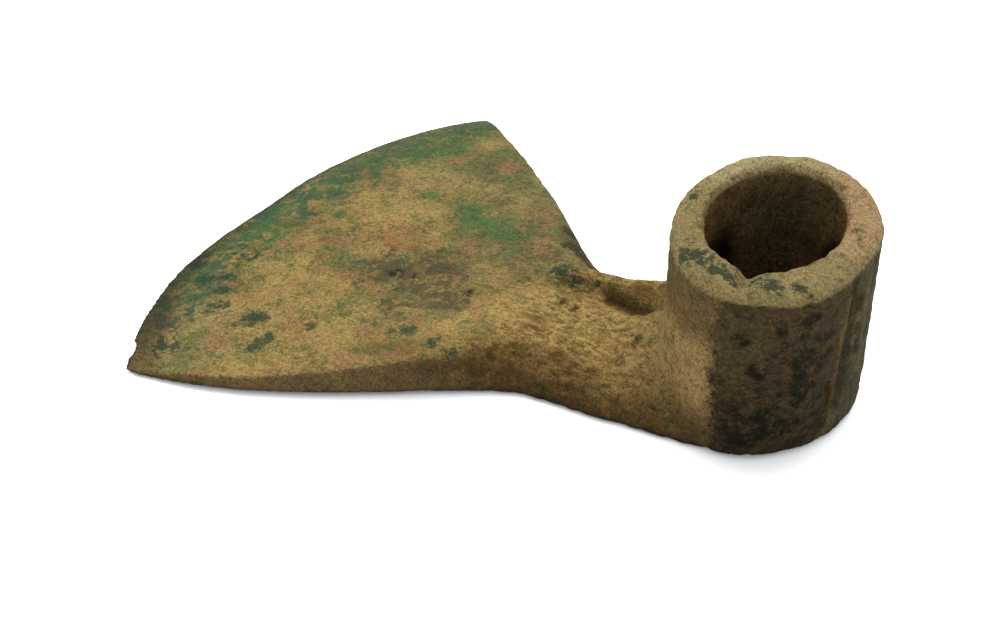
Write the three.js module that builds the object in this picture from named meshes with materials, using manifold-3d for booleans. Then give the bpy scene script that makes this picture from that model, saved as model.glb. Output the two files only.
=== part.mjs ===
// Adze head, cast in one piece: a broad flared blade, a rounded neck and an upright oval socket.
// Millimetres, +Z up. The blade points along -X and lies flat, and the socket stands at the +X end.
import * as THREE from 'three';
import { mergeVertices } from 'three/addons/utils/BufferGeometryUtils.js';
import Module from 'manifold-3d';

// Plan of the blade, measured from the centre of the socket's foot
const edgeReach = 120.3;
const edgeWidth = 118.2;
const edgeBulge = 18;
const edgeBulgePower = 2.75;
const edgeSkewDegrees = 4.8;
const nearCornerHandle = 33;
const farCornerHandle = 31;
const nearCornerDegrees = 5.5;
const farCornerDegrees = 31.5;
const neckHandle = 11;
const nearFlareStart = 35.5;
const farFlareStart = 40.7;
const neckNearWidth = 24.3;
const neckFarWidth = 15.9;
const rootOverlap = 2;
const rootInset = 0.2;
const rootHandle = 5;
const rootTaper = 0.4;

// Heights of the blade and the neck, and how far beyond the start of the flare they change
const edgeThickness = 0.9;
const bevelLength = 9;
const bevelHeight = 2.9;
const bevelRunOut = 44;
const bladeHeight = 6;
const shoulderHeight = 11.4;
const shoulderLength = 49;
const shoulderHollow = 1.4;
const neckHeight = 12.6;
const neckRiseLength = 22;
const archHeight = 0.5;
const lowerEdgeHeight = 0.5;

// How square a section is at its two sides: a sharp arris along the blade, rounded off at the neck
const bladePower = 16;
const nearNeckPower = 1.75;
const farNeckPower = 1.25;
const nearArrisFade = 27;
const farArrisFade = 34;
const lowerArrisPower = 12;
const lowerRoundPower = 3;

// Cast ridge on top of the neck, and the crease beside it
const ridgeOffset = 2.9;
const ridgeRise = 4.4;
const ridgeSpread = 2.5;
const creaseOffset = -2.6;
const creaseDepth = 2.3;
const creaseSpread = 1.9;
const reliefLead = 15;
const reliefFade = 15;

// Socket
const socketLength = 37.8;
const socketWidth = 41.8;
const socketHeight = 41;
const socketWall = 6.3;
const rimNarrowing = 2;
const rimWidening = 2.6;
const leanX = 1.4;
const leanY = -2.4;
const rimDropX = 0.062;
const rimDropY = 0.085;
const rimRounding = 2.6;
const mouthRounding = 0.8;
const footRounding = 2.2;
const boreShiftX = -1.2;
const boreShiftY = 1.5;
const nearFilletRadius = 10;
const farFilletRadius = 4.5;
const steepestFillet = 0.88;
const hollowFaceDepth = 1.3;
const hollowFaceDegrees = -8;
const hollowFaceSpreadDegrees = 17;
const footWearDepth = 1.7;
const footWearHeight = 14;
const footWearDegrees = -44;
const footWearSpreadDegrees = 20;
const rimSwell = 1.1;
const rimSwellDegrees = 160;
const rimSwellSpreadDegrees = 26;

// Casting flaws and damage: a notch and a lump on the rim, a fold down the socket, and chips along the edge
const notchDegrees = -86;
const notchWidth = 4.2;
const notchDepth = 2.6;
const notchStop = 2.6;
const lumpDegrees = -70;
const lumpSpreadDegrees = 9;
const lumpRise = 1.1;
const foldDegrees = -22;
const foldWidth = 1.9;
const foldDepth = 1.7;
const foldBelowRim = 12;
const foldBottom = 6;
const chipLength = 4.6;
const chipDepth = 0.8;
const chipDistance = 5.5;

// Fineness of the surfaces
const flareStations = 36;
const rootStations = 14;
const pointsAcross = 26;
const pointsAround = 64;
const roundingSteps = 4;
const wallSteps = 5;
const chipSides = 16;

const bronze = new THREE.MeshStandardMaterial({
  name: 'patinated bronze',
  color: new THREE.Color(0.42, 0.34, 0.2),
  roughness: 0.7,
  metalness: 0.35,
});

const wasm = await Module();
wasm.setup();

function solidFrom(geometry) {
  const bare = geometry.clone();
  bare.deleteAttribute('normal');
  bare.deleteAttribute('uv');
  const merged = mergeVertices(bare, 1e-5);
  return new wasm.Manifold(new wasm.Mesh({
    numProp: 3,
    vertProperties: new Float32Array(merged.attributes.position.array),
    triVerts: new Uint32Array(merged.index.array),
  }));
}

function geometryFrom(solid) {
  const mesh = solid.getMesh();
  const geometry = new THREE.BufferGeometry();
  geometry.setAttribute('position', new THREE.BufferAttribute(mesh.vertProperties, 3));
  geometry.setIndex(new THREE.BufferAttribute(mesh.triVerts, 1));
  geometry.computeVertexNormals();
  return geometry;
}

function ease(low, high, value) {
  return THREE.MathUtils.smoothstep(value, low, high);
}

function mix(from, to, share) {
  return THREE.MathUtils.lerp(from, to, share);
}

function bump(offset, spread) {
  return Math.exp(-0.5 * (offset / spread) ** 2);
}

function alongX(length, degrees) {
  const angle = THREE.MathUtils.degToRad(degrees);
  return new THREE.Vector2(length * Math.cos(angle), length * Math.sin(angle));
}

// The two ends of the cutting edge, on a chord turned by the skew
const skew = THREE.MathUtils.degToRad(edgeSkewDegrees);
const chordMiddle = new THREE.Vector2(edgeBulge - edgeReach, 0);
const alongChord = new THREE.Vector2(Math.sin(skew), Math.cos(skew));
const outOfChord = new THREE.Vector2(-Math.cos(skew), Math.sin(skew));
const farCorner = chordMiddle.clone().addScaledVector(alongChord, edgeWidth / 2);
const nearCorner = chordMiddle.clone().addScaledVector(alongChord, -edgeWidth / 2);

// One side of the blade from its corner to the neck, then on into the socket
function sideOfBlade(corner, cornerDirection, neck) {
  const beforeNeck = new THREE.Vector2(neck.x - neckHandle, neck.y);
  const root = new THREE.Vector2(-rootOverlap, Math.sign(neck.y) * (socketWidth / 2 - rootInset));
  const beforeRoot = new THREE.Vector2(root.x - rootHandle, mix(root.y, neck.y, rootTaper));
  const flare = new THREE.CubicBezierCurve(corner, corner.clone().add(cornerDirection), beforeNeck, neck);
  const rootCurve = new THREE.QuadraticBezierCurve(neck, beforeRoot, root);
  return [...flare.getPoints(flareStations), ...rootCurve.getPoints(rootStations).slice(1)];
}

const nearNeck = new THREE.Vector2(-nearFlareStart, -neckNearWidth);
const farNeck = new THREE.Vector2(-farFlareStart, neckFarWidth);
const nearSide = sideOfBlade(nearCorner, alongX(nearCornerHandle, nearCornerDegrees), nearNeck);
const farSide = sideOfBlade(farCorner, alongX(farCornerHandle, -farCornerDegrees), farNeck);

// How full the blade's edge curve still is at a station: all of it at the edge, none at the neck
function bulgeAt(station) {
  const left = 1 - Math.min(1, station / flareStations);
  return edgeBulge * left ** 2;
}

function planPoint(station, across) {
  const point = nearSide[station].clone().lerp(farSide[station], (across + 1) / 2);
  const fullness = bulgeAt(station) * (1 - Math.abs(across) ** edgeBulgePower);
  return point.addScaledVector(outOfChord, fullness);
}

// Distance outside the socket's wall at the foot, roughly, or less than 0 inside it
function outsideSocket(x, y) {
  const reach = Math.hypot(x / (socketLength / 2), y / (socketWidth / 2));
  return (reach - 1) * (socketLength + socketWidth) / 4;
}

// Height of the blade's middle above the table, by the distance behind the cutting edge
function spineHeight(x, behindEdge) {
  const bevel = mix(edgeThickness, bevelHeight, Math.min(1, behindEdge / bevelLength));
  const blade = bevel + (bladeHeight - bevelHeight) * ease(0, bevelRunOut, behindEdge);
  const toShoulder = ease(-nearFlareStart - shoulderLength, -nearFlareStart, x) ** shoulderHollow;
  const toNeck = ease(-nearFlareStart - neckRiseLength, -socketLength / 2, x);
  return blade + (shoulderHeight - bladeHeight) * toShoulder + (neckHeight - shoulderHeight) * toNeck;
}

// A section is a half of a superellipse: square-shouldered along the blade and round at the neck
function shoulderPower(x, across) {
  const far = ease(-0.5, 0.5, across);
  const start = nearFlareStart + mix(nearArrisFade, farArrisFade, far);
  const atNeck = mix(nearNeckPower, farNeckPower, far);
  return bladePower * (atNeck / bladePower) ** ease(-start, -nearFlareStart, x);
}

// How far the fillet to the socket lifts the top of the neck: wide on the near side, tight beyond the crease
function filletRise(x, y) {
  const radius = mix(nearFilletRadius, farFilletRadius, ease(creaseOffset, ridgeOffset, y));
  const inward = THREE.MathUtils.clamp(1 - outsideSocket(x, y) / radius, 0, steepestFillet);
  return radius * (1 - Math.sqrt(1 - inward ** 2));
}

function neckRelief(x, y) {
  const start = -nearFlareStart - reliefLead;
  const ridge = ridgeRise * bump(y - ridgeOffset, ridgeSpread);
  const crease = creaseDepth * bump(y - creaseOffset, creaseSpread);
  return ease(start, start + reliefFade, x) * (ridge - crease);
}

function undersideArch(x) {
  const share = THREE.MathUtils.clamp((x + edgeReach) / (edgeReach - socketLength / 2), 0, 1);
  return archHeight * Math.sin(Math.PI * share) ** 2;
}

function upperPoint(station, across) {
  const { x, y } = planPoint(station, across);
  const behindEdge = x + edgeReach - (edgeBulge - bulgeAt(0) * (1 - Math.abs(across) ** edgeBulgePower));
  const top = spineHeight(x, Math.max(0, behindEdge));
  const waist = Math.min(lowerEdgeHeight, top / 2) + undersideArch(x);
  const power = shoulderPower(x, across);
  const round = Math.max(0, 1 - Math.abs(across) ** power) ** (1 / power);
  const rise = (top - waist) * round + (neckRelief(x, y) + filletRise(x, y)) * round;
  return new THREE.Vector3(x, y, waist + rise);
}

function lowerPoint(station, across) {
  const { x, y } = planPoint(station, across);
  const waist = upperPoint(station, Math.sign(across || 1)).z;
  const bottom = undersideArch(x);
  const round = Math.max(0, 1 - Math.abs(across) ** lowerArrisPower) ** (1 / lowerRoundPower);
  return new THREE.Vector3(x, y, mix(Math.max(waist, bottom), bottom, round));
}

// The blade and the neck as one closed skin of sections, each a ring of points above and below
function bladeGeometry() {
  const rings = nearSide.map((_, station) => {
    const across = nearSide.slice(0, pointsAcross + 1).map((_, i) => Math.sin(Math.PI * (i / pointsAcross - 0.5)));
    const upper = across.map((share) => upperPoint(station, share));
    const lower = across.slice(1, -1).reverse().map((share) => lowerPoint(station, share));
    return [...upper, ...lower];
  });
  const count = rings[0].length;
  const triangles = [];
  for (let station = 0; station < rings.length - 1; station += 1) {
    for (let i = 0; i < count; i += 1) {
      const a = station * count + i;
      const b = station * count + (i + 1) % count;
      triangles.push(a, a + count, b, b, a + count, b + count);
    }
  }
  const last = (rings.length - 1) * count;
  for (let i = 0; i < pointsAcross; i += 1) {
    const below = (count - i) % count;
    const belowNext = count - i - 1;
    triangles.push(i, i + 1, below);
    triangles.push(last + i, last + below, last + i + 1);
    if (belowNext !== i + 1) {
      triangles.push(below, i + 1, belowNext);
      triangles.push(last + below, last + belowNext, last + i + 1);
    }
  }
  const geometry = new THREE.BufferGeometry().setFromPoints(rings.flat());
  geometry.setIndex(triangles);
  return geometry;
}

// Points of a quarter round from one end to the other, about a centre
function quarterRound(centreX, centreY, radius, fromDegrees) {
  return Array.from({ length: roundingSteps + 1 }, (_, step) => {
    const angle = THREE.MathUtils.degToRad(fromDegrees + 90 * step / roundingSteps);
    return new THREE.Vector2(centreX + radius * Math.cos(angle), centreY + radius * Math.sin(angle));
  });
}

// A profile turned round the axis, whose nominal radius becomes an oval of the given length and width
function ovalLathe(profile, nominal, length, width) {
  const geometry = new THREE.LatheGeometry(profile, pointsAround);
  geometry.rotateX(Math.PI / 2);
  const place = geometry.attributes.position;
  for (let i = 0; i < place.count; i += 1) {
    const angle = Math.atan2(place.getY(i), place.getX(i));
    const inset = nominal - Math.hypot(place.getX(i), place.getY(i));
    const onAxis = inset > nominal - 1e-6;
    const x = onAxis ? 0 : (length / 2 - inset) * Math.cos(angle);
    const y = onAxis ? 0 : (width / 2 - inset) * Math.sin(angle);
    place.setXY(i, x, y);
  }
  return geometry;
}

function angleFrom(x, y, degrees) {
  const angle = THREE.MathUtils.radToDeg(Math.atan2(y, x)) - degrees;
  return THREE.MathUtils.euclideanModulo(angle + 180, 360) - 180;
}

// Leans a solid that was made upright, tips its rim, and leaves whatever is at the table flat on it
function lean(geometry) {
  const place = geometry.attributes.position;
  for (let i = 0; i < place.count; i += 1) {
    const share = place.getZ(i) / socketHeight;
    const x = place.getX(i) * (1 - share * rimNarrowing / socketLength);
    const y = place.getY(i) * (1 + share * rimWidening / socketWidth);
    const drop = x * rimDropX - y * rimDropY;
    place.setXYZ(i, x + leanX * share, y + leanY * share, place.getZ(i) - drop * share);
  }
  return geometry;
}

function socketGeometry() {
  const nominal = (socketLength + socketWidth) / 4;
  const wallTop = socketHeight - rimRounding;
  const wall = Array.from({ length: wallSteps - 1 }, (_, step) => {
    return new THREE.Vector2(nominal, mix(footRounding, wallTop, (step + 1) / wallSteps));
  });
  const profile = [
    new THREE.Vector2(0, 0),
    ...quarterRound(nominal - footRounding, footRounding, footRounding, -90),
    ...wall,
    ...quarterRound(nominal - rimRounding, wallTop, rimRounding, 0),
    new THREE.Vector2(nominal - socketWall, socketHeight),
    new THREE.Vector2(0, socketHeight),
  ];
  const geometry = ovalLathe(profile, nominal, socketLength, socketWidth);
  const place = geometry.attributes.position;
  for (let i = 0; i < place.count; i += 1) {
    const x = place.getX(i);
    const y = place.getY(i);
    const z = place.getZ(i);
    const outer = ease(nominal - socketWall, nominal, Math.hypot(x, y));
    const dent = hollowFaceDepth * bump(angleFrom(x, y, hollowFaceDegrees), hollowFaceSpreadDegrees);
    const wearHere = bump(angleFrom(x, y, footWearDegrees), footWearSpreadDegrees);
    const wear = footWearDepth * wearHere * (1 - ease(0, footWearHeight, z));
    const swellHere = bump(angleFrom(x, y, rimSwellDegrees), rimSwellSpreadDegrees);
    const swell = rimSwell * swellHere * z / socketHeight;
    const scale = 1 + outer * (swell - dent - wear) / Math.max(nominal, Math.hypot(x, y));
    const raised = outer * ease(wallTop, socketHeight, z);
    const lump = lumpRise * raised * bump(angleFrom(x, y, lumpDegrees), lumpSpreadDegrees);
    place.setXYZ(i, x * scale, y * scale, z + lump);
  }
  return lean(geometry);
}

function boreGeometry() {
  const nominal = (socketLength + socketWidth) / 4 - socketWall;
  const past = socketHeight / 10;
  const flared = nominal + mouthRounding;
  const profile = [
    new THREE.Vector2(0, -past),
    new THREE.Vector2(flared, -past),
    new THREE.Vector2(flared, 0),
    new THREE.Vector2(nominal, mouthRounding),
    new THREE.Vector2(nominal, socketHeight - 2 * mouthRounding),
    new THREE.Vector2(nominal + mouthRounding / 3, socketHeight - mouthRounding),
    new THREE.Vector2(flared, socketHeight),
    new THREE.Vector2(flared, socketHeight + past),
    new THREE.Vector2(0, socketHeight + past),
  ];
  const geometry = ovalLathe(profile, nominal, socketLength - 2 * socketWall, socketWidth - 2 * socketWall);
  geometry.translate(boreShiftX, boreShiftY, 0);
  return lean(geometry);
}

// A wedge with its thin edge down or inwards, for cutting notches
function wedge(width, depth, length) {
  const outline = new THREE.Shape([
    new THREE.Vector2(0, -depth),
    new THREE.Vector2(width / 2, depth),
    new THREE.Vector2(-width / 2, depth),
  ]);
  return new THREE.ExtrudeGeometry(outline, { depth: length, bevelEnabled: false });
}

// A V cut down into the rim, open to the bore
function rimNotch() {
  const cutter = wedge(2 * notchWidth, notchDepth, socketWidth / 2 - notchStop);
  cutter.rotateX(Math.PI / 2);
  cutter.rotateZ(THREE.MathUtils.degToRad(90 + notchDegrees));
  cutter.translate(0, 0, socketHeight);
  return lean(cutter);
}

// A narrow fold in the casting, running down the outside of the socket
function socketFold() {
  const cutter = wedge(2 * foldWidth, foldDepth, socketHeight - foldBelowRim - foldBottom);
  const angle = THREE.MathUtils.degToRad(foldDegrees);
  const wallX = (socketLength / 2) * Math.cos(angle);
  const wallY = (socketWidth / 2) * Math.sin(angle);
  cutter.rotateZ(angle - Math.PI / 2);
  cutter.translate(wallX, wallY, foldBottom);
  return lean(cutter);
}

// A point of the cutting edge, by its share of the way from the middle to a corner
function edgePoint(across) {
  return planPoint(0, across);
}

// A shallow bite out of the cutting edge beside its near corner
function edgeChip() {
  const across = 2 * chipDistance / edgeWidth - 1;
  const place = edgePoint(across);
  const step = chipLength / edgeWidth;
  const along = edgePoint(across + step).sub(edgePoint(across - step));
  const cutter = new THREE.CylinderGeometry(chipLength / 2, chipLength / 2, 4 * bladeHeight, chipSides);
  cutter.rotateX(Math.PI / 2);
  cutter.scale(1, 2 * chipDepth / chipLength, 1);
  cutter.rotateZ(along.angle());
  cutter.translate(place.x, place.y, 0);
  return cutter;
}

const casting = solidFrom(bladeGeometry())
  .add(solidFrom(socketGeometry()))
  .subtract(solidFrom(boreGeometry()))
  .subtract(solidFrom(rimNotch()))
  .subtract(solidFrom(socketFold()))
  .subtract(solidFrom(edgeChip()));

// The head stands on the table with the middle of its box over the origin
const head = new THREE.Mesh(geometryFrom(casting), bronze);
head.name = 'adze_head';
const box = new THREE.Box3().setFromObject(head);
const middle = box.getCenter(new THREE.Vector3());
head.position.set(-middle.x, -middle.y, -box.min.z);

const group = new THREE.Group();
group.name = 'adze head';
group.add(head);

export default group;
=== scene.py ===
import bpy
import numpy as np
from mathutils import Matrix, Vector, noise


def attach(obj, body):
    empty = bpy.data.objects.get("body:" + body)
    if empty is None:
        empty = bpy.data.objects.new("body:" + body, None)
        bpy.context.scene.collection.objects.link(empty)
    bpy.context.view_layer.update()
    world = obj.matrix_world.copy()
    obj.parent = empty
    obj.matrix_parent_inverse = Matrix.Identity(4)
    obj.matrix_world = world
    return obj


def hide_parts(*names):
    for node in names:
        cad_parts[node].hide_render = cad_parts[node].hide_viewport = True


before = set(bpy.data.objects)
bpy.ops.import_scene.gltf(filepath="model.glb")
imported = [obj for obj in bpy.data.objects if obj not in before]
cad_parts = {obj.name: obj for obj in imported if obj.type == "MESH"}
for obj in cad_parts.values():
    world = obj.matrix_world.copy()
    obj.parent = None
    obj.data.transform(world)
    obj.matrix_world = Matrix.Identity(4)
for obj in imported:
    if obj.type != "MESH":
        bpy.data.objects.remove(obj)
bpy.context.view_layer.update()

# Lengths are in millimetres, apart from those of the studio and the camera, which are in metres.
# X runs from the cutting edge to the socket, Y to the far side of the blade, and Z up along the
# socket.
MM = 0.001

# The width of the skin's faces, and half that of the slices in which its outline is measured.
FACE_SIZE = 0.59
SLICE = 1.6

# The oval socket: its middle at the foot, its lean for each millimetre of height, and its size.
SOCKET_MIDDLE = (51.4, 0.0)
SOCKET_LEAN = (1.4 / 41, -2.4 / 41)
SOCKET_HALF_LENGTH = 19.0
SOCKET_HALF_WIDTH = 21.0
SOCKET_MEAN_HALF = (SOCKET_HALF_LENGTH + SOCKET_HALF_WIDTH) / 2
RIM_HEIGHT = 38.0

# The wall of the bore lies between these distances from the outside of the socket, which are
# negative inwards. The bore has a middle of its own at the rim.
BORE_WALL = (-5.4, -4.2)
BORE_MIDDLE = (52.5, -1.0)

# The dark mottled wall, on the socket's near side and deepened there with painted shade, begins
# and ends between these bearings round the socket, in degrees.
MOTTLE_START = (-100, -84)
MOTTLE_END = (-30, -14)

# How far each form of the relief stands out or sinks in.
LIP_HEIGHT = 0.55
VALLEY_DEPTH = 0.75
SECOND_RIDGE_HEIGHT = 0.45
CRACK_DEPTH = 1.4
HOLLOW_DEPTH = 1.15
PIT_DEPTH = 0.38
SHALLOWER_ON_NECK = 0.16
ROLL_DEPTH = 1.3
RIDGE_RISE = 2.0

# The fold in the casting down the socket: a thin lip, a valley beside it, a crack below it and a
# second ridge.
FOLD_LIP = [(69.0, -7.7, 35.5), (68.9, -7.5, 30.2), (68.7, -8.0, 25.0), (68.6, -7.8, 19.2),
            (68.4, -8.7, 16.0)]
FOLD_VALLEY = [(69.3, -4.8, 35.0), (69.3, -4.9, 26.0), (69.2, -5.2, 19.0), (68.6, -5.0, 9.0)]
FOLD_CRACK = [(68.3, -9.0, 15.6), (68.2, -7.9, 11.6), (68.2, -6.9, 8.0)]
SECOND_RIDGE = [(69.5, -2.0, 30.0), (69.5, -0.2, 18.0)]
# The hollow beside the cast ridge on the neck, and the dark belt below the arris on its near side,
# a reddish-brown stain with painted shade under the arris.
HOLLOW = [(19.5, -1.9, 11.0), (24.2, -2.5, 11.2), (27.5, -3.4, 12.0), (30.5, -4.6, 14.0)]
BELT = [(-14.0, -34.0, 5.0), (-3.0, -31.5, 6.5), (6.4, -25.0, 7.6), (14.0, -21.5, 7.6),
        (24.0, -21.0, 7.0)]

# Single pits and stains, each as x, y, z and radius.
PITS = [(12.4, -7.4, 11.5, 0.7), (15.6, -8.2, 11.5, 0.7), (-7.6, -10.9, 8.2, 0.6),
        (31.4, -12, 12, 0.9), (-20.8, -9.8, 6.5, 0.5)]
EMERALD_STAINS = [
    (-50.7, 31.5, 3, 3.6), (-47.8, 36.3, 3, 4.2), (-44.2, 42.1, 3, 3.2), (-60.6, -9, 2, 3.2),
    (-64, 2, 2, 2.4), (-24.5, 16.7, 6, 2.4), (-20.5, 15.5, 6, 3.8), (-16.7, 14.4, 7, 4.2),
    (-12.5, 12.5, 7, 3.2), (-8.4, 10.6, 8, 1.6), (-36.1, 19.0, 5, 1.8), (-14.0, 21.0, 6, 1.2),
    (-46, -18, 3, 1.2), (-50, 4, 4, 1.3), (-43, 12, 4, 1.0), (-28, -25, 5, 1.2)]
TEAL_STAINS = [
    (-57.8, -19.9, 2, 2.4), (-56.1, -27.0, 2, 2.0), (-61.5, -17.0, 2, 1.6),
    (-60.0, -29.0, 1, 2.2), (-54.0, -31.5, 2, 1.6), (-66.9, -23.1, 1, 1.8),
    (-11.3, -27.3, 7.6, 1.5), (-14.2, -27.9, 7.4, 1.2), (-35.7, -41.2, 4, 2.5),
    (-38.2, -42.8, 4, 1.5), (-41.3, -36.0, 4, 2.0), (-44.2, -38.0, 4, 1.8),
    (-52.1, -36.6, 3, 2.2), (-53.7, -49.7, 2, 2.6), (-51.3, -49.2, 2, 2.2),
    (-39.8, -30.5, 4, 1.3), (-29.5, -33.5, 5, 1.1), (8.0, 0.3, 11.1, 2.2),
    (11.5, -0.2, 11.4, 1.5), (15.6, 0.4, 12.0, 0.6), (18.0, 0.8, 12.6, 0.5),
    (0.9, -29.7, 9.2, 1.8), (-3.2, -29.0, 8.6, 1.3), (46.0, -18.1, 40.1, 1.7),
    (43.9, -17.4, 40.2, 2.2), (49.2, -19.7, 39.7, 1.3), (52.2, -20.2, 39.1, 1.1),
    (56.3, -19.0, 39.8, 1.7), (59.3, -19.2, 39.7, 1.4), (62.9, -16.6, 39.3, 1.0),
    (36.0, -3.5, 41.6, 1.1)]
DARK_STAINS = [
    (-24.9, -10.6, 6.3, 1.1), (3.7, 13.6, 8.2, 2.8), (0.5, 17.5, 7.8, 2.6), (8, 12, 8, 1.8),
    (12.4, -7.4, 11.5, 0.8), (15.6, -8.2, 11.5, 0.8), (-7.6, -10.9, 8.2, 0.9),
    (31.4, -12, 12, 1.0), (-20.8, -9.8, 6.5, 0.7)]
RUST_STAINS = [(-33.8, 0, 5, 3.0), (-30.5, 3.5, 5, 2.0), (-28.0, -1.0, 5, 2.2),
               (54.6, -22.1, 39.4, 1.4), (44.9, -21.7, 29, 1.4), (69, -6, 12, 2.4)]
PURPLE_STAINS = [(-26.9, -9.5, 6, 5.4), (-17.1, -13.6, 7, 6.4), (-11.1, -15.3, 8, 4.2),
                 (-20, -4, 6, 4.6), (-3, 27, 7, 2.2), (-60, -44, 2, 4.5)]
DULL_PLACES = [(-55, -47, 2, 9), (-62, -33, 2, 6)]
# Dark stains on the outside of the socket, each as bearing in degrees, height and radius.
WALL_STAINS = [
    (-46, 37.6, 1.1), (-45, 33.8, 1.3), (-44, 30.5, 1.4), (-44, 27.0, 1.8), (-47, 24.0, 2.2),
    (-43.5, 20.5, 2.1), (-44, 16.5, 1.5), (-52, 10.5, 2.2), (-60, 8.5, 2.6), (-66, 11.5, 1.8),
    (-76, 11.0, 1.3), (-84, 8.0, 1.0), (-72, 5.0, 1.6), (-30, 30.0, 1.8), (-15, 35.0, 1.3),
    (-14, 32.0, 1.2), (-70, 23.0, 1.5), (-78, 30.0, 1.0), (-62, 33.0, 1.0)]

# The studio and the camera, in metres, watts and, for the lens, millimetres.
FLOOR_SIZE = 6
FLOOR_HEIGHT = -0.0002
FLOOR_COLOUR = (0.96, 0.96, 0.96, 1)
FLOOR_ROUGHNESS = 0.9
SKY_COLOUR = (0.96, 0.98, 1.0, 1)
SKY_STRENGTH = 1.50
WINDOW_PLACE = (-0.40, 0.70, 1.30)
WINDOW_SIZE = 1.8
WINDOW_POWER = 40
SENSOR_WIDTH = 36
FOCAL_LENGTH = 61.2
CAMERA_PLACE = (0.14243, -0.24119, 0.20598)
CAMERA_DIRECTION = (-0.42244, 0.68390, -0.59482)


def rise(value, start, end):
    """0 up to start, 1 from end on, and a soft slope between them."""
    t = np.clip((value - start) / (end - start), 0, 1)
    return t * t * (3 - 2 * t)


def fall(value, start, end):
    """1 up to start, 0 from end on, and a soft slope between them."""
    return 1 - rise(value, start, end)


def hump(value, middle, half_width):
    """1 in the middle, fading to nothing a half width away."""
    return fall(np.abs(value - middle), 0, half_width)


def from_outline(across, along, steps):
    """How far each vertex lies across from the outline's least value at its place along it."""
    outline = [across[np.abs(along - step) < SLICE].min() for step in steps]
    return across - np.interp(along, steps, outline)


class Skin:
    """The vertices of the casting in millimetres, and where each lies on the adze."""

    def __init__(self, piece):
        self.mesh = piece.data
        count = len(self.mesh.vertices)
        self.points = np.empty(count * 3)
        self.mesh.vertices.foreach_get("co", self.points)
        self.points = self.points.reshape(-1, 3) / MM
        self.read_normals()
        self.locate()

    def read_normals(self):
        flat = np.empty(self.points.size)
        self.mesh.vertex_normals.foreach_get("vector", flat)
        self.normals = flat.reshape(-1, 3)

    def locate(self):
        """Works out where each vertex lies. x, y and z follow the points when those move."""
        x, y, z = self.points.T
        self.x, self.y, self.z = x, y, z
        across = x - SOCKET_MIDDLE[0] - SOCKET_LEAN[0] * z
        along = y - SOCKET_MIDDLE[1] - SOCKET_LEAN[1] * z
        oval = np.hypot(across / SOCKET_HALF_LENGTH, along / SOCKET_HALF_WIDTH)
        self.bearing = np.degrees(np.arctan2(along, across))
        self.outside = (oval - 1) * SOCKET_MEAN_HALF
        self.on_rim = rise(z, RIM_HEIGHT - 2, RIM_HEIGHT) * rise(self.normals[:, 2], 0.0, 0.3)
        self.on_rim *= fall(self.outside, 0.6, 2.0)
        self.in_bore = fall(self.outside, *BORE_WALL) * (1 - self.on_rim)
        self.on_socket = fall(self.outside, 0.6, 3.0)
        self.on_neck = rise(x, -4, 12) * (1 - self.on_socket)
        self.on_blade = fall(x, 2, 16)
        self.on_top = rise(self.normals[:, 2], 0.35, 0.75)
        self.underneath = rise(-self.normals[:, 2], 0.3, 0.8) * fall(z, 4, 8)
        self.from_edge = from_outline(x, y, np.arange(-57, 57.1, 1.5))
        self.from_near_side = from_outline(y, x, np.arange(-66, 30, 1.5))

    def noise(self, size, seed, octaves):
        """Smooth seeded noise, about -1 to 1, with lumps of the given size."""
        shift = Vector((seed * 17.3, seed * 5.1, seed * 9.7))
        scaled = self.points / size
        return np.array([noise.fractal(Vector(p) + shift, 1.0, 2.0, octaves) for p in scaled])

    def by_line(self, line, reach):
        """A mask of 1 on a line of points, fading away from it over about the given reach."""
        nearest = np.full(len(self.points), 1e9)
        for start, end in zip(line[:-1], line[1:]):
            start = np.array(start)
            run = np.array(end) - start
            part = np.clip((self.points - start) @ run / (run @ run), 0, 1)
            away = np.linalg.norm(self.points - start - part[:, None] * run, axis=1)
            nearest = np.minimum(nearest, away)
        return np.exp(-(nearest / reach) ** 2)

    def spots(self, places):
        """A mask of 1 at the middle of each place, a half at its radius and 0 at twice that."""
        mask = np.zeros(len(self.points))
        for x, y, z, radius in places:
            away = np.linalg.norm(self.points - (x, y, z), axis=1)
            mask = np.maximum(mask, np.clip(1 - away / (2 * radius), 0, 1))
        return mask

    def write(self):
        self.mesh.vertices.foreach_set("co", (self.points * MM).ravel())
        self.mesh.update()
        self.read_normals()

    def keep_mask(self, name, values):
        layer = self.mesh.attributes.new(name, "FLOAT", "POINT")
        layer.data.foreach_set("value", np.clip(values, 0, 1).astype(np.float32))


def only(piece):
    bpy.ops.object.select_all(action="DESELECT")
    piece.select_set(True)
    bpy.context.view_layer.objects.active = piece


def finish_with(piece, kind, **settings):
    """Adds a modifier with the given settings and applies it."""
    only(piece)
    bpy.ops.object.modifier_add(type=kind)
    modifier = piece.modifiers[-1]
    for name, value in settings.items():
        setattr(modifier, name, value)
    bpy.ops.object.modifier_apply(modifier=modifier.name)


def even_casting():
    """The solid of the casting as one closed skin of small even faces."""
    piece = bpy.data.objects.new("cast_adze_head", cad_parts["adze_head"].data.copy())
    bpy.context.scene.collection.objects.link(piece)
    piece.data.materials.clear()
    only(piece)
    bpy.ops.object.mode_set(mode="EDIT")
    bpy.ops.mesh.select_all(action="SELECT")
    bpy.ops.mesh.remove_doubles(threshold=0.00001)
    bpy.ops.object.mode_set(mode="OBJECT")
    finish_with(piece, "REMESH", mode="VOXEL", voxel_size=FACE_SIZE * MM)
    return piece


def soften(piece, name, weights, rounds):
    """Smooths the skin where the weights say."""
    group = piece.vertex_groups.new(name=name)
    for index in np.flatnonzero(weights > 0.02):
        group.add([int(index)], float(weights[index]), "REPLACE")
    finish_with(piece, "SMOOTH", factor=0.5, iterations=rounds, vertex_group=name)
    piece.vertex_groups.remove(piece.vertex_groups[name])


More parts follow.
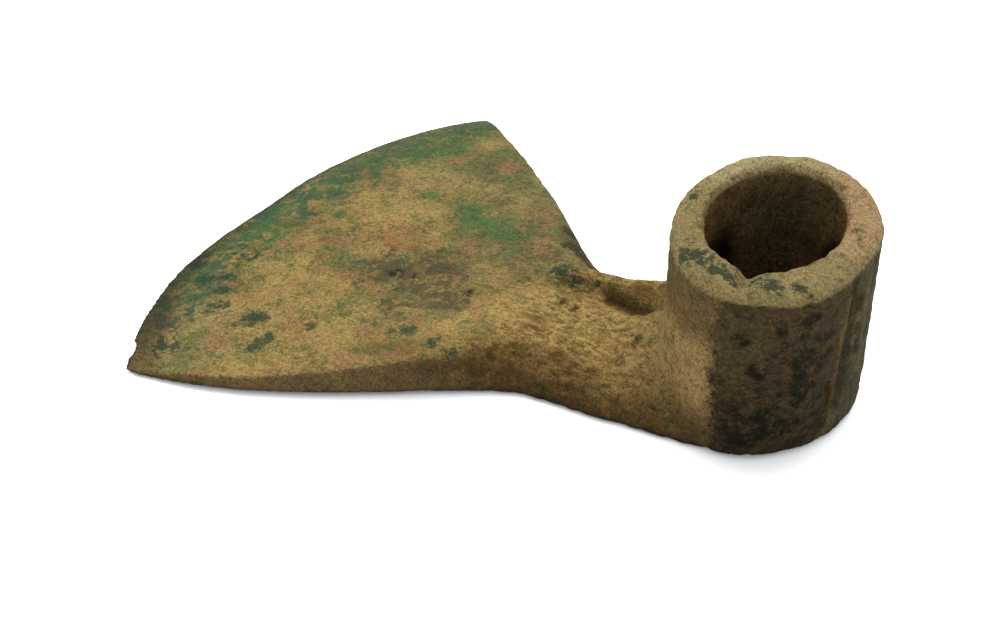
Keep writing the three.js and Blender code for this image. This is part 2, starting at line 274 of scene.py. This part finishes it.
def on_wall(bearing, height, radius):
    """A stain on the outside of the socket, as x, y, z and radius."""
    turn = np.radians(bearing)
    x = SOCKET_MIDDLE[0] + SOCKET_LEAN[0] * height + SOCKET_HALF_LENGTH * np.cos(turn)
    y = SOCKET_MIDDLE[1] + SOCKET_LEAN[1] * height + SOCKET_HALF_WIDTH * np.sin(turn)
    return x, y, height, radius


def round_the_joins(piece):
    """Rounds the inner corner of neck and socket, and the marks that the even faces left."""
    skin = Skin(piece)
    near_join = hump(skin.outside, 2.5, 11) * fall(skin.z, 22, 30) * fall(skin.y, -9, -4)
    near_join *= fall(skin.bearing, *MOTTLE_START) * (1 - skin.in_bore) * (1 - skin.underneath)
    far_join = hump(skin.outside, 1.5, 3.5) * fall(skin.z, 22, 27) * rise(skin.y, -9, -4)
    far_join *= fall(skin.x, 36, 44)
    soften(piece, "near_join", near_join, rounds=90)
    soften(piece, "far_join", far_join, rounds=6)
    soften(piece, "all", 1 - 0.7 * skin.on_rim, rounds=2)
    soften(piece, "edge", fall(skin.from_edge, 1.5, 5), rounds=4)
    return near_join


def model_casting():
    piece = even_casting()
    near_join = round_the_joins(piece)
    skin = Skin(piece)

    # The waves and the grain of the cast skin.
    rough = np.clip(skin.on_neck + skin.on_socket, 0, 1)
    rough *= 1 - 0.6 * skin.underneath
    amount = 0.16 * skin.noise(size=15, seed=1, octaves=3)
    amount += (0.05 + 0.13 * rough + 0.05 * skin.on_neck) * skin.noise(size=2.3, seed=2, octaves=3)
    amount += 0.10 * rough * skin.noise(size=5.5, seed=3, octaves=2)

    # The fold down the socket, and the hollow on the neck.
    outer = 1 - skin.in_bore
    crack = skin.by_line(FOLD_CRACK, 0.8) * outer
    lip = skin.by_line(FOLD_LIP, 0.75) * outer
    valley = skin.by_line(FOLD_VALLEY, 1.9) * outer
    hollow = skin.by_line(HOLLOW, 1.0)
    amount += LIP_HEIGHT * lip - VALLEY_DEPTH * valley
    amount += SECOND_RIDGE_HEIGHT * skin.by_line(SECOND_RIDGE, 1.1) * outer
    amount -= CRACK_DEPTH * crack
    amount -= HOLLOW_DEPTH * hollow

    # The lumpy rim, and the pits.
    lumps = 0.30 * skin.noise(size=4.2, seed=6, octaves=3)
    lumps += 0.12 * skin.noise(size=1.6, seed=7, octaves=2)
    amount += skin.on_rim * lumps
    eaten = np.clip(0.15 + 0.85 * skin.on_neck + 0.45 * skin.on_socket, 0, 1)
    pitted = skin.noise(size=1.9, seed=4, octaves=2) + 0.5 * skin.noise(size=7, seed=5, octaves=2)
    pitted = rise(pitted + 0.25 * eaten, 0.50, 0.95) * eaten
    pitted = np.maximum(pitted, rise(skin.spots(PITS), 0.3, 0.8))
    amount -= (PIT_DEPTH - SHALLOWER_ON_NECK * skin.on_neck) * pitted
    rolled = rise(skin.z, 34.5, 39) * hump(skin.bearing, -30, 52) * hump(skin.outside, -6.5, 1.8)
    skin.points += skin.normals * amount[:, None]

    # The cast ridge on the far side of the neck, and the edge of the bore that is rolled inwards.
    ridge = rise(skin.x, 17, 32) * rise(skin.y, -2.5, 2) * fall(skin.y, 8, 15)
    ridge *= rise(skin.normals[:, 2], 0.0, 0.5)
    skin.points[:, 2] += RIDGE_RISE * ridge * rise(skin.outside, 0.0, 2.5) * fall(skin.z, 18, 26)
    outwards = [skin.x - BORE_MIDDLE[0], skin.y - BORE_MIDDLE[1], np.zeros(len(amount))]
    outwards = np.stack(outwards, axis=1)
    outwards /= np.linalg.norm(outwards, axis=1)[:, None]
    skin.points -= outwards * (ROLL_DEPTH * rolled)[:, None]
    skin.write()
    only(piece)
    bpy.ops.object.shade_smooth()
    paint_masks(skin, {"pit": 0.6 * pitted + crack, "hollow": hollow, "lip": lip, "valley": valley,
                       "join_light": near_join * rise(skin.z, 4, 15)})
    return piece


def paint_masks(skin, relief):
    """Where each stain, growth and worn place lies, kept as attributes for the shader."""
    facing_up = skin.normals[:, 2]
    top = skin.on_top
    wall = skin.on_socket * (1 - skin.in_bore) * (1 - skin.on_rim)
    band = 0.80 * hump(skin.from_edge, 5.5, 14) * rise(skin.y, -50, -30)
    mottled = rise(skin.bearing, *MOTTLE_START) * fall(skin.bearing, *MOTTLE_END)
    streaked = rise(skin.bearing, -26, -14) * fall(skin.bearing, 30, 70)
    wall_stains = skin.spots([on_wall(*stain) for stain in WALL_STAINS]) * (1 - skin.in_bore)
    far_half = np.maximum(rise(skin.y, 8, 34), rise(skin.x, -34, -8) * rise(skin.y, -12, 12))
    # Painted shade: the neck darker where it faces down and low down, and the socket's wall darker
    # low down beside the neck.
    shaded_neck = skin.on_neck * fall(facing_up, 0.45, 1.0) * fall(skin.z, 12, 24)
    low_wall_shade = 0.55 * wall * fall(skin.bearing, *MOTTLE_START) * fall(skin.z, 6, 22)
    sandy = hump(skin.from_near_side, 12, 26) + hump(skin.x, -38, 20) * 0.5
    masks = {
        "green_band": band * top * skin.on_blade,
        "emerald": top * skin.spots(EMERALD_STAINS),
        "teal": np.maximum(top, skin.on_socket) * skin.spots(TEAL_STAINS),
        "mottled": mottled * wall,
        "streaked": streaked * wall,
        "blue_black": np.maximum(wall_stains, 0.9 * skin.spots(DARK_STAINS)),
        "rust": skin.spots(RUST_STAINS),
        "purple": skin.spots(PURPLE_STAINS),
        "dull": top * np.maximum(2.0 * skin.spots(DULL_PLACES), skin.on_blade * far_half),
        "neck_side_shade": np.maximum(shaded_neck, low_wall_shade),
        # The blade's side faces, for their brown patina with painted shade over it.
        "flank": fall(facing_up, 0.66, 0.88) * (1 - skin.on_socket) * (1 - skin.on_neck),
        "belt": skin.by_line(BELT, 4.2) * (1 - skin.on_socket),
        "bore": skin.in_bore,
        "deep_bore_shade": skin.in_bore * fall(skin.z, 22, 37),
        "rim": skin.on_rim,
        "blush_rim": skin.on_rim * rise(skin.bearing, -25, 5) * fall(skin.bearing, 140, 175),
        "back_rim": skin.on_rim * rise(skin.bearing, 60, 110) * fall(skin.bearing, 150, 178),
        "neck": skin.on_neck,
        "socket": wall,
        "tall": skin.z / RIM_HEIGHT,
        "sandy": top * np.clip(sandy, 0, 1),
        "worn": fall(skin.from_edge, 0.2, 1.6) * skin.on_blade,
        "contact_shade": fall(skin.z, 0.3, 2.2),
    }
    for name, values in (relief | masks).items():
        skin.keep_mask(name, values)


# In the studio light a finish shows about this many times as bright as it is, so it is set darker.
STUDIO = 2.45


def tone(red, green, blue):
    """A finish from its 0 to 255 screen values in the studio light, as a linear colour."""
    parts = [value / 255 for value in (red, green, blue)]
    parts = [v / 12.92 if v < 0.04045 else ((v + 0.055) / 1.055) ** 2.4 for v in parts]
    return tuple(v / STUDIO for v in parts) + (1.0,)


OLIVE_BROWN = tone(122, 110, 66)
SAND = tone(182, 156, 93)
PINK_BROWN = tone(174, 126, 90)
SAGE = tone(112, 124, 68)
PALE_SAND = tone(188, 162, 102)
WALL_BROWN = tone(108, 89, 58)
WALL_TAN = tone(136, 113, 73)
FLANK_PATINA_AND_SHADE = tone(134, 106, 76)
JOIN_PAINTED_LIGHT = tone(204, 170, 110)
BELT_STAIN_AND_SHADE = tone(98, 68, 40)
PURPLE_GREY = tone(76, 73, 56)
RUST = tone(160, 98, 58)
BORE_BROWN = tone(146, 112, 70)
BORE_SHADE_BLACK = tone(19, 15, 7)
RIM_BONE = tone(192, 173, 121)
RIM_BLUSH = tone(222, 182, 132)
RIM_PALE = tone(214, 202, 150)
SPECK_BROWN = tone(76, 68, 42)
SPECK_GREEN = tone(70, 100, 64)
PALE_GREEN = tone(84, 110, 68)
BLUE_GREEN = tone(56, 96, 68)
EMERALD = tone(74, 114, 66)
TEAL = tone(54, 76, 56)
MOTTLE_BROWN = tone(106, 88, 58)
MOTTLE_AND_SHADE_BLACK = tone(26, 27, 18)
STREAK_OLIVE = tone(72, 72, 46)
VALLEY_OLIVE = tone(52, 48, 30)
LIP_TAN = tone(150, 126, 84)
BLUE_BLACK = tone(26, 30, 20)
WORN_GREEN = tone(72, 82, 56)
PIT_BROWN = tone(64, 52, 32)
HOLLOW_SHADE_BROWN = tone(70, 54, 32)
FOOT_CONTACT_SHADE = tone(44, 37, 28)

# What the colours are multiplied by in some places, and everywhere by the grain, whose dark and
# light follow the bump's relief: painted shade in its cavities and painted light on its peaks,
# over the real grain.
GREENER = (0.88, 0.98, 1.12, 1)
NECK_LIGHT = (1.50, 1.43, 1.42, 1)
NECK_SHADE = (0.33, 0.28, 0.28, 1)
GRAIN_CAVITY_SHADE = (0.52, 0.50, 0.47, 1)
GRAIN_PEAK_LIGHT = (1.40, 1.38, 1.32, 1)

# The spread of the noise texture with one octave, and the spread that every cloud is given.
OCTAVE_SPREAD = 0.125
CLOUD_SPREAD = 0.5

# The patina is matt, and the finest of its relief is a bump this many metres high.
SHEEN = 0.03
BUMP_STRENGTH = 0.9
BUMP_METRES = 0.0004


class Shade:
    """A socket of the shader. Sums and products of sockets are written as plain Python."""

    tree = None

    def __init__(self, socket):
        self.socket = socket

    @classmethod
    def node(cls, kind, settings=None, values=None, output=0):
        made = cls.tree.nodes.new(kind)
        for name, setting in (settings or {}).items():
            setattr(made, name, setting)
        for name, value in (values or {}).items():
            if isinstance(value, cls):
                cls.tree.links.new(value.socket, made.inputs[name])
            else:
                made.inputs[name].default_value = value
        return cls(made.outputs[output])

    @classmethod
    def maths(cls, operation, first, second=0.0):
        return cls.node("ShaderNodeMath", {"operation": operation}, {0: first, 1: second})

    def __add__(self, other):
        return self.maths("ADD", self, other)

    def __sub__(self, other):
        return self.maths("SUBTRACT", self, other)

    def __rsub__(self, other):
        return self.maths("SUBTRACT", other, self)

    def __mul__(self, other):
        return self.maths("MULTIPLY", self, other)

    __radd__ = __add__
    __rmul__ = __mul__

    def rise(self, start, end):
        values = {"Value": self, "From Min": start, "From Max": end}
        return self.node("ShaderNodeMapRange", {"interpolation_type": "SMOOTHSTEP"}, values)


def blend(amount, under, over, kind="MIX"):
    settings = {"data_type": "RGBA", "blend_type": kind}
    return Shade.node("ShaderNodeMix", settings, {0: amount, 6: under, 7: over}, output=2)


def mask(name):
    return Shade.node("ShaderNodeAttribute", {"attribute_name": name}, output="Fac")


def patina():
    material = bpy.data.materials.new("patinated_bronze")
    material.use_nodes = True
    Shade.tree = material.node_tree
    shader = Shade.tree.nodes["Principled BSDF"]
    metres = Shade.node("ShaderNodeTexCoord", output="Object")
    scaling = {0: metres, "Scale": 1 / MM}
    place = Shade.node("ShaderNodeVectorMath", {"operation": "SCALE"}, scaling, "Vector")

    def cloud(size, detail, roughness, shift=0.0, stretch=(1, 1, 1)):
        """Noise of about -1 to 1 with lumps of the given size, as strong whatever its detail."""
        octaves = roughness ** np.arange(detail + 1)
        spread = OCTAVE_SPREAD * np.sqrt((octaves ** 2).sum()) / octaves.sum()
        moves = {"Vector": place, "Location": (shift, shift, shift),
                 "Scale": tuple(1 / s for s in stretch)}
        values = {"Vector": Shade.node("ShaderNodeMapping", {}, moves), "Scale": 1 / size,
                  "Detail": float(detail), "Roughness": roughness}
        return (Shade.node("ShaderNodeTexNoise", {}, values) - 0.5) * float(CLOUD_SPREAD / spread)

    # Each with the size of its lumps, its detail, its roughness, its shift and its stretch.
    broad = cloud(26, 3, 0.60)
    drift = cloud(10, 6, 0.66, 37)
    tint = cloud(7, 7, 0.70, 131)
    sage = cloud(6, 7, 0.72, 307)
    mottle = cloud(3.6, 7, 0.72, 11)
    ragged = cloud(1.6, 6, 0.72, 71)
    flecks = cloud(0.85, 4, 0.70, 83)
    specks = cloud(2.2, 7, 0.76, 211)
    grain = cloud(0.42, 2, 0.60, 23)
    wrinkles = cloud(0.9, 4, 0.70, 401, (2.4, 1, 1))
    streaks = cloud(2.4, 5, 0.70, 5, (1, 1, 4))
    torn = mottle * 0.36 + ragged * 0.30 + flecks * 0.16

    def patch(name, wobble=1.0, soft=0.14):
        """The area of a mask, torn at its edge, with holes in it and crumbs around it."""
        area = mask(name)
        return (area + torn * wobble).rise(0.5 - soft, 0.5 + soft) * area.rise(0.02, 0.25)

    def coat(amount, finish, kind="MIX"):
        """Lays a finish over the colour so far."""
        nonlocal colour
        colour = blend(amount, colour, finish, kind)

    # The ground: sand and olive brown in soft tides, with clouds of pink and sage.
    tide = 0.5 + broad * 0.12 + drift * 0.22 + mottle * 0.16
    tide = tide + mask("sandy") * 0.37 - mask("dull") * 0.24
    colour = blend(tide.rise(0.10, 0.90), OLIVE_BROWN, SAND)
    coat(mask("dull") * 0.9, GREENER, "MULTIPLY")
    hues = 0.60 - mask("neck") * 0.28
    coat((tint * 0.60 + ragged * 0.20 + flecks * 0.10).rise(0.00, 0.55) * hues, PINK_BROWN)
    coat((sage * 0.60 - ragged * 0.20 + flecks * 0.10).rise(0.05, 0.55) * hues, SAGE)
    coat((flecks * 0.40 - ragged * 0.30 + drift * 0.20).rise(0.30, 0.70) * 0.40, PALE_SAND)

    # The neck, the wall of the socket and the flank of the blade, with painted shade on the
    # blade's side faces, low on the neck and at the foot of the socket's wall, and painted light
    # in the inner corner of neck and socket.
    coat(mask("neck"), NECK_LIGHT, "MULTIPLY")
    coat(mask("socket") * 0.75, blend((0.5 + drift * 0.35).rise(0.0, 1.0), WALL_BROWN, WALL_TAN))
    # Painted shade: the blade's side faces, which turn away from the light above, browner and
    # darker, over a brown patina.
    coat(patch("flank", 1.7, 0.35) * 0.75, FLANK_PATINA_AND_SHADE)
    # Painted shade low on the neck and at the foot of the socket's wall.
    coat(mask("neck_side_shade") * (0.95 + ragged * 0.12), NECK_SHADE, "MULTIPLY")
    # Painted light: a paler tan over the inner corner of neck and socket, lifting the shade that
    # falls in the corner.
    coat(mask("join_light"), JOIN_PAINTED_LIGHT)

    # Stains, the bore, with painted shade darkening it deep down, and the rim.
    # Painted shade under the arris of the neck's near side, over a reddish-brown stain.
    coat(patch("belt", 0.9, 0.45) * 0.5, BELT_STAIN_AND_SHADE)
    coat(patch("purple", 1.5, 0.35) * 0.80, PURPLE_GREY)
    coat(patch("rust", 1.2, 0.30) * 0.50, RUST)
    coat(mask("bore") * 0.85, BORE_BROWN)
    # Painted shade: the bore nearly black deep down, where little light reaches.
    coat(mask("deep_bore_shade").rise(0, 0.7) * 0.97, BORE_SHADE_BLACK)
    coat(mask("rim") * 0.68, RIM_BONE)
    coat(mask("blush_rim") * 0.70, RIM_BLUSH)
    coat(mask("back_rim") * 0.70, RIM_PALE)

    # Dark specks, and the greens.
    speckled = 1 - mask("rim") * 0.8 - mask("neck") * 0.5
    dark_specks = (ragged * 0.45 + flecks * 0.30 + mottle * 0.35).rise(0.34, 0.62) * speckled
    coat(dark_specks * 0.45, SPECK_BROWN)
    green_specks = specks * 0.60 - drift * 0.25 + mask("emerald") * 0.4 - mask("neck") * 0.15
    coat(green_specks.rise(0.42, 0.66) * 0.60, SPECK_GREEN)
    greens = blend((0.5 + tint * 0.35 + ragged * 0.2).rise(0.1, 0.9), PALE_GREEN, BLUE_GREEN)
    coat(patch("green_band", 1.5, 0.16) * 0.92, greens)
    coat(patch("emerald", 1.3, 0.20) * 0.74, EMERALD)
    coat(patch("teal", 1.3, 0.20) * 0.86, TEAL)

    # The mottled wall, its dark mottling deepened with painted shade and darker towards its foot,
    # and the fold beside it.
    mottled = (mask("mottled") + torn * 0.5).rise(0.15, 0.85) * mask("mottled").rise(0.0, 0.2)
    dark = 0.70 - mask("tall") * 0.45 + drift * 0.12
    dark = dark + mottle * 0.24 + ragged * 0.30 + flecks * 0.14
    # Painted shade deepens the dark mottling on the socket's near side.
    coat(mottled * 0.92, blend(dark.rise(0.0, 1.0), MOTTLE_BROWN, MOTTLE_AND_SHADE_BLACK))
    streaked = mask("streaked") * (0.5 + streaks * 0.3 + mottle * 0.3).rise(0.0, 0.8)
    coat(streaked * 0.90, STREAK_OLIVE)
    coat(mask("valley") * 0.60, VALLEY_OLIVE)
    coat(mask("lip") * 0.55, LIP_TAN)
    coat(patch("blue_black", 1.2, 0.45) * 0.80, BLUE_BLACK)

    # The worn edge, the pits, painted shade in the hollow and painted contact shade along the
    # foot.
    coat(mask("worn") * 0.5, WORN_GREEN)
    coat(mask("pit").rise(0.1, 0.9) * 0.45, PIT_BROWN)
    # Painted shade in the hollow under the cast ridge on the neck.
    coat(mask("hollow") * 0.65, HOLLOW_SHADE_BROWN)
    # Painted contact shade: darker along the bottom 2 mm, where the casting meets the floor.
    coat(mask("contact_shade") * 0.75, FOOT_CONTACT_SHADE)

    # Fine light and dark grain over everything. It follows the bump's relief, so it is partly
    # painted shade in the cavities and painted light on the peaks.
    grainy = mask("bore") + mask("mottled") * 0.6 - mask("rim") * 0.4
    light_and_dark = 0.5 + grain * 0.20 + flecks * 0.16 + ragged * 0.12
    light_and_dark = light_and_dark + grainy * (ragged * 0.12 + flecks * 0.20)
    wrinkled = mask("neck") * (0.28 - mask("neck_side_shade") * 0.20)
    light_and_dark = light_and_dark + wrinkled * wrinkles
    coat(1.0, blend(light_and_dark.rise(0.10, 0.90), GRAIN_CAVITY_SHADE, GRAIN_PEAK_LIGHT), "MULTIPLY")

    rough = mask("neck") * 1.3 + mask("socket") + mask("bore") + mask("rim") + mask("flank") * 0.8
    height = mottle * 0.16 + ragged * 0.30 + flecks * 0.30 + grain * 0.18
    height = height - patch("teal") * 0.2 + mask("neck") * wrinkles * 0.3
    height = height * (0.50 + rough * 0.75)
    bumps = {"Strength": BUMP_STRENGTH, "Distance": BUMP_METRES, "Height": height}
    bump = Shade.node("ShaderNodeBump", {}, bumps, "Normal")
    shader.inputs["Specular IOR Level"].default_value = SHEEN
    Shade.tree.links.new(colour.socket, shader.inputs["Base Color"])
    Shade.tree.links.new((0.72 + flecks * 0.06).socket, shader.inputs["Roughness"])
    Shade.tree.links.new(bump.socket, shader.inputs["Normal"])
    return material


def pale_floor():
    bpy.ops.mesh.primitive_plane_add(size=FLOOR_SIZE)
    floor = bpy.context.active_object
    floor.name = "pale_floor"
    paint = bpy.data.materials.new("pale_floor")
    paint.use_nodes = True
    shader = paint.node_tree.nodes["Principled BSDF"]
    shader.inputs["Base Color"].default_value = FLOOR_COLOUR
    shader.inputs["Roughness"].default_value = FLOOR_ROUGHNESS
    floor.data.materials.append(paint)
    floor.location.z = FLOOR_HEIGHT


def light_and_camera():
    world = bpy.data.worlds.new("studio")
    world.use_nodes = True
    world.node_tree.nodes["Background"].inputs["Color"].default_value = SKY_COLOUR
    world.node_tree.nodes["Background"].inputs["Strength"].default_value = SKY_STRENGTH
    bpy.context.scene.world = world

    def aimed(name, data, place, direction):
        holder = bpy.data.objects.new(name, data)
        holder.location = place
        holder.rotation_euler = Vector(direction).to_track_quat("-Z", "Y").to_euler()
        bpy.context.scene.collection.objects.link(holder)
        return holder

    lamp = bpy.data.lights.new("window_light", "AREA")
    lamp.size = WINDOW_SIZE
    lamp.energy = WINDOW_POWER
    aimed("window_light", lamp, WINDOW_PLACE, -Vector(WINDOW_PLACE))

    lens = bpy.data.cameras.new("camera")
    lens.sensor_width = SENSOR_WIDTH
    lens.lens = FOCAL_LENGTH
    bpy.context.scene.camera = aimed("camera", lens, CAMERA_PLACE, CAMERA_DIRECTION)
    bpy.context.scene.view_settings.view_transform = "Standard"


casting = model_casting()
casting.data.materials.append(patina())
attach(casting, "root")
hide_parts("adze_head")
pale_floor()
light_and_camera()
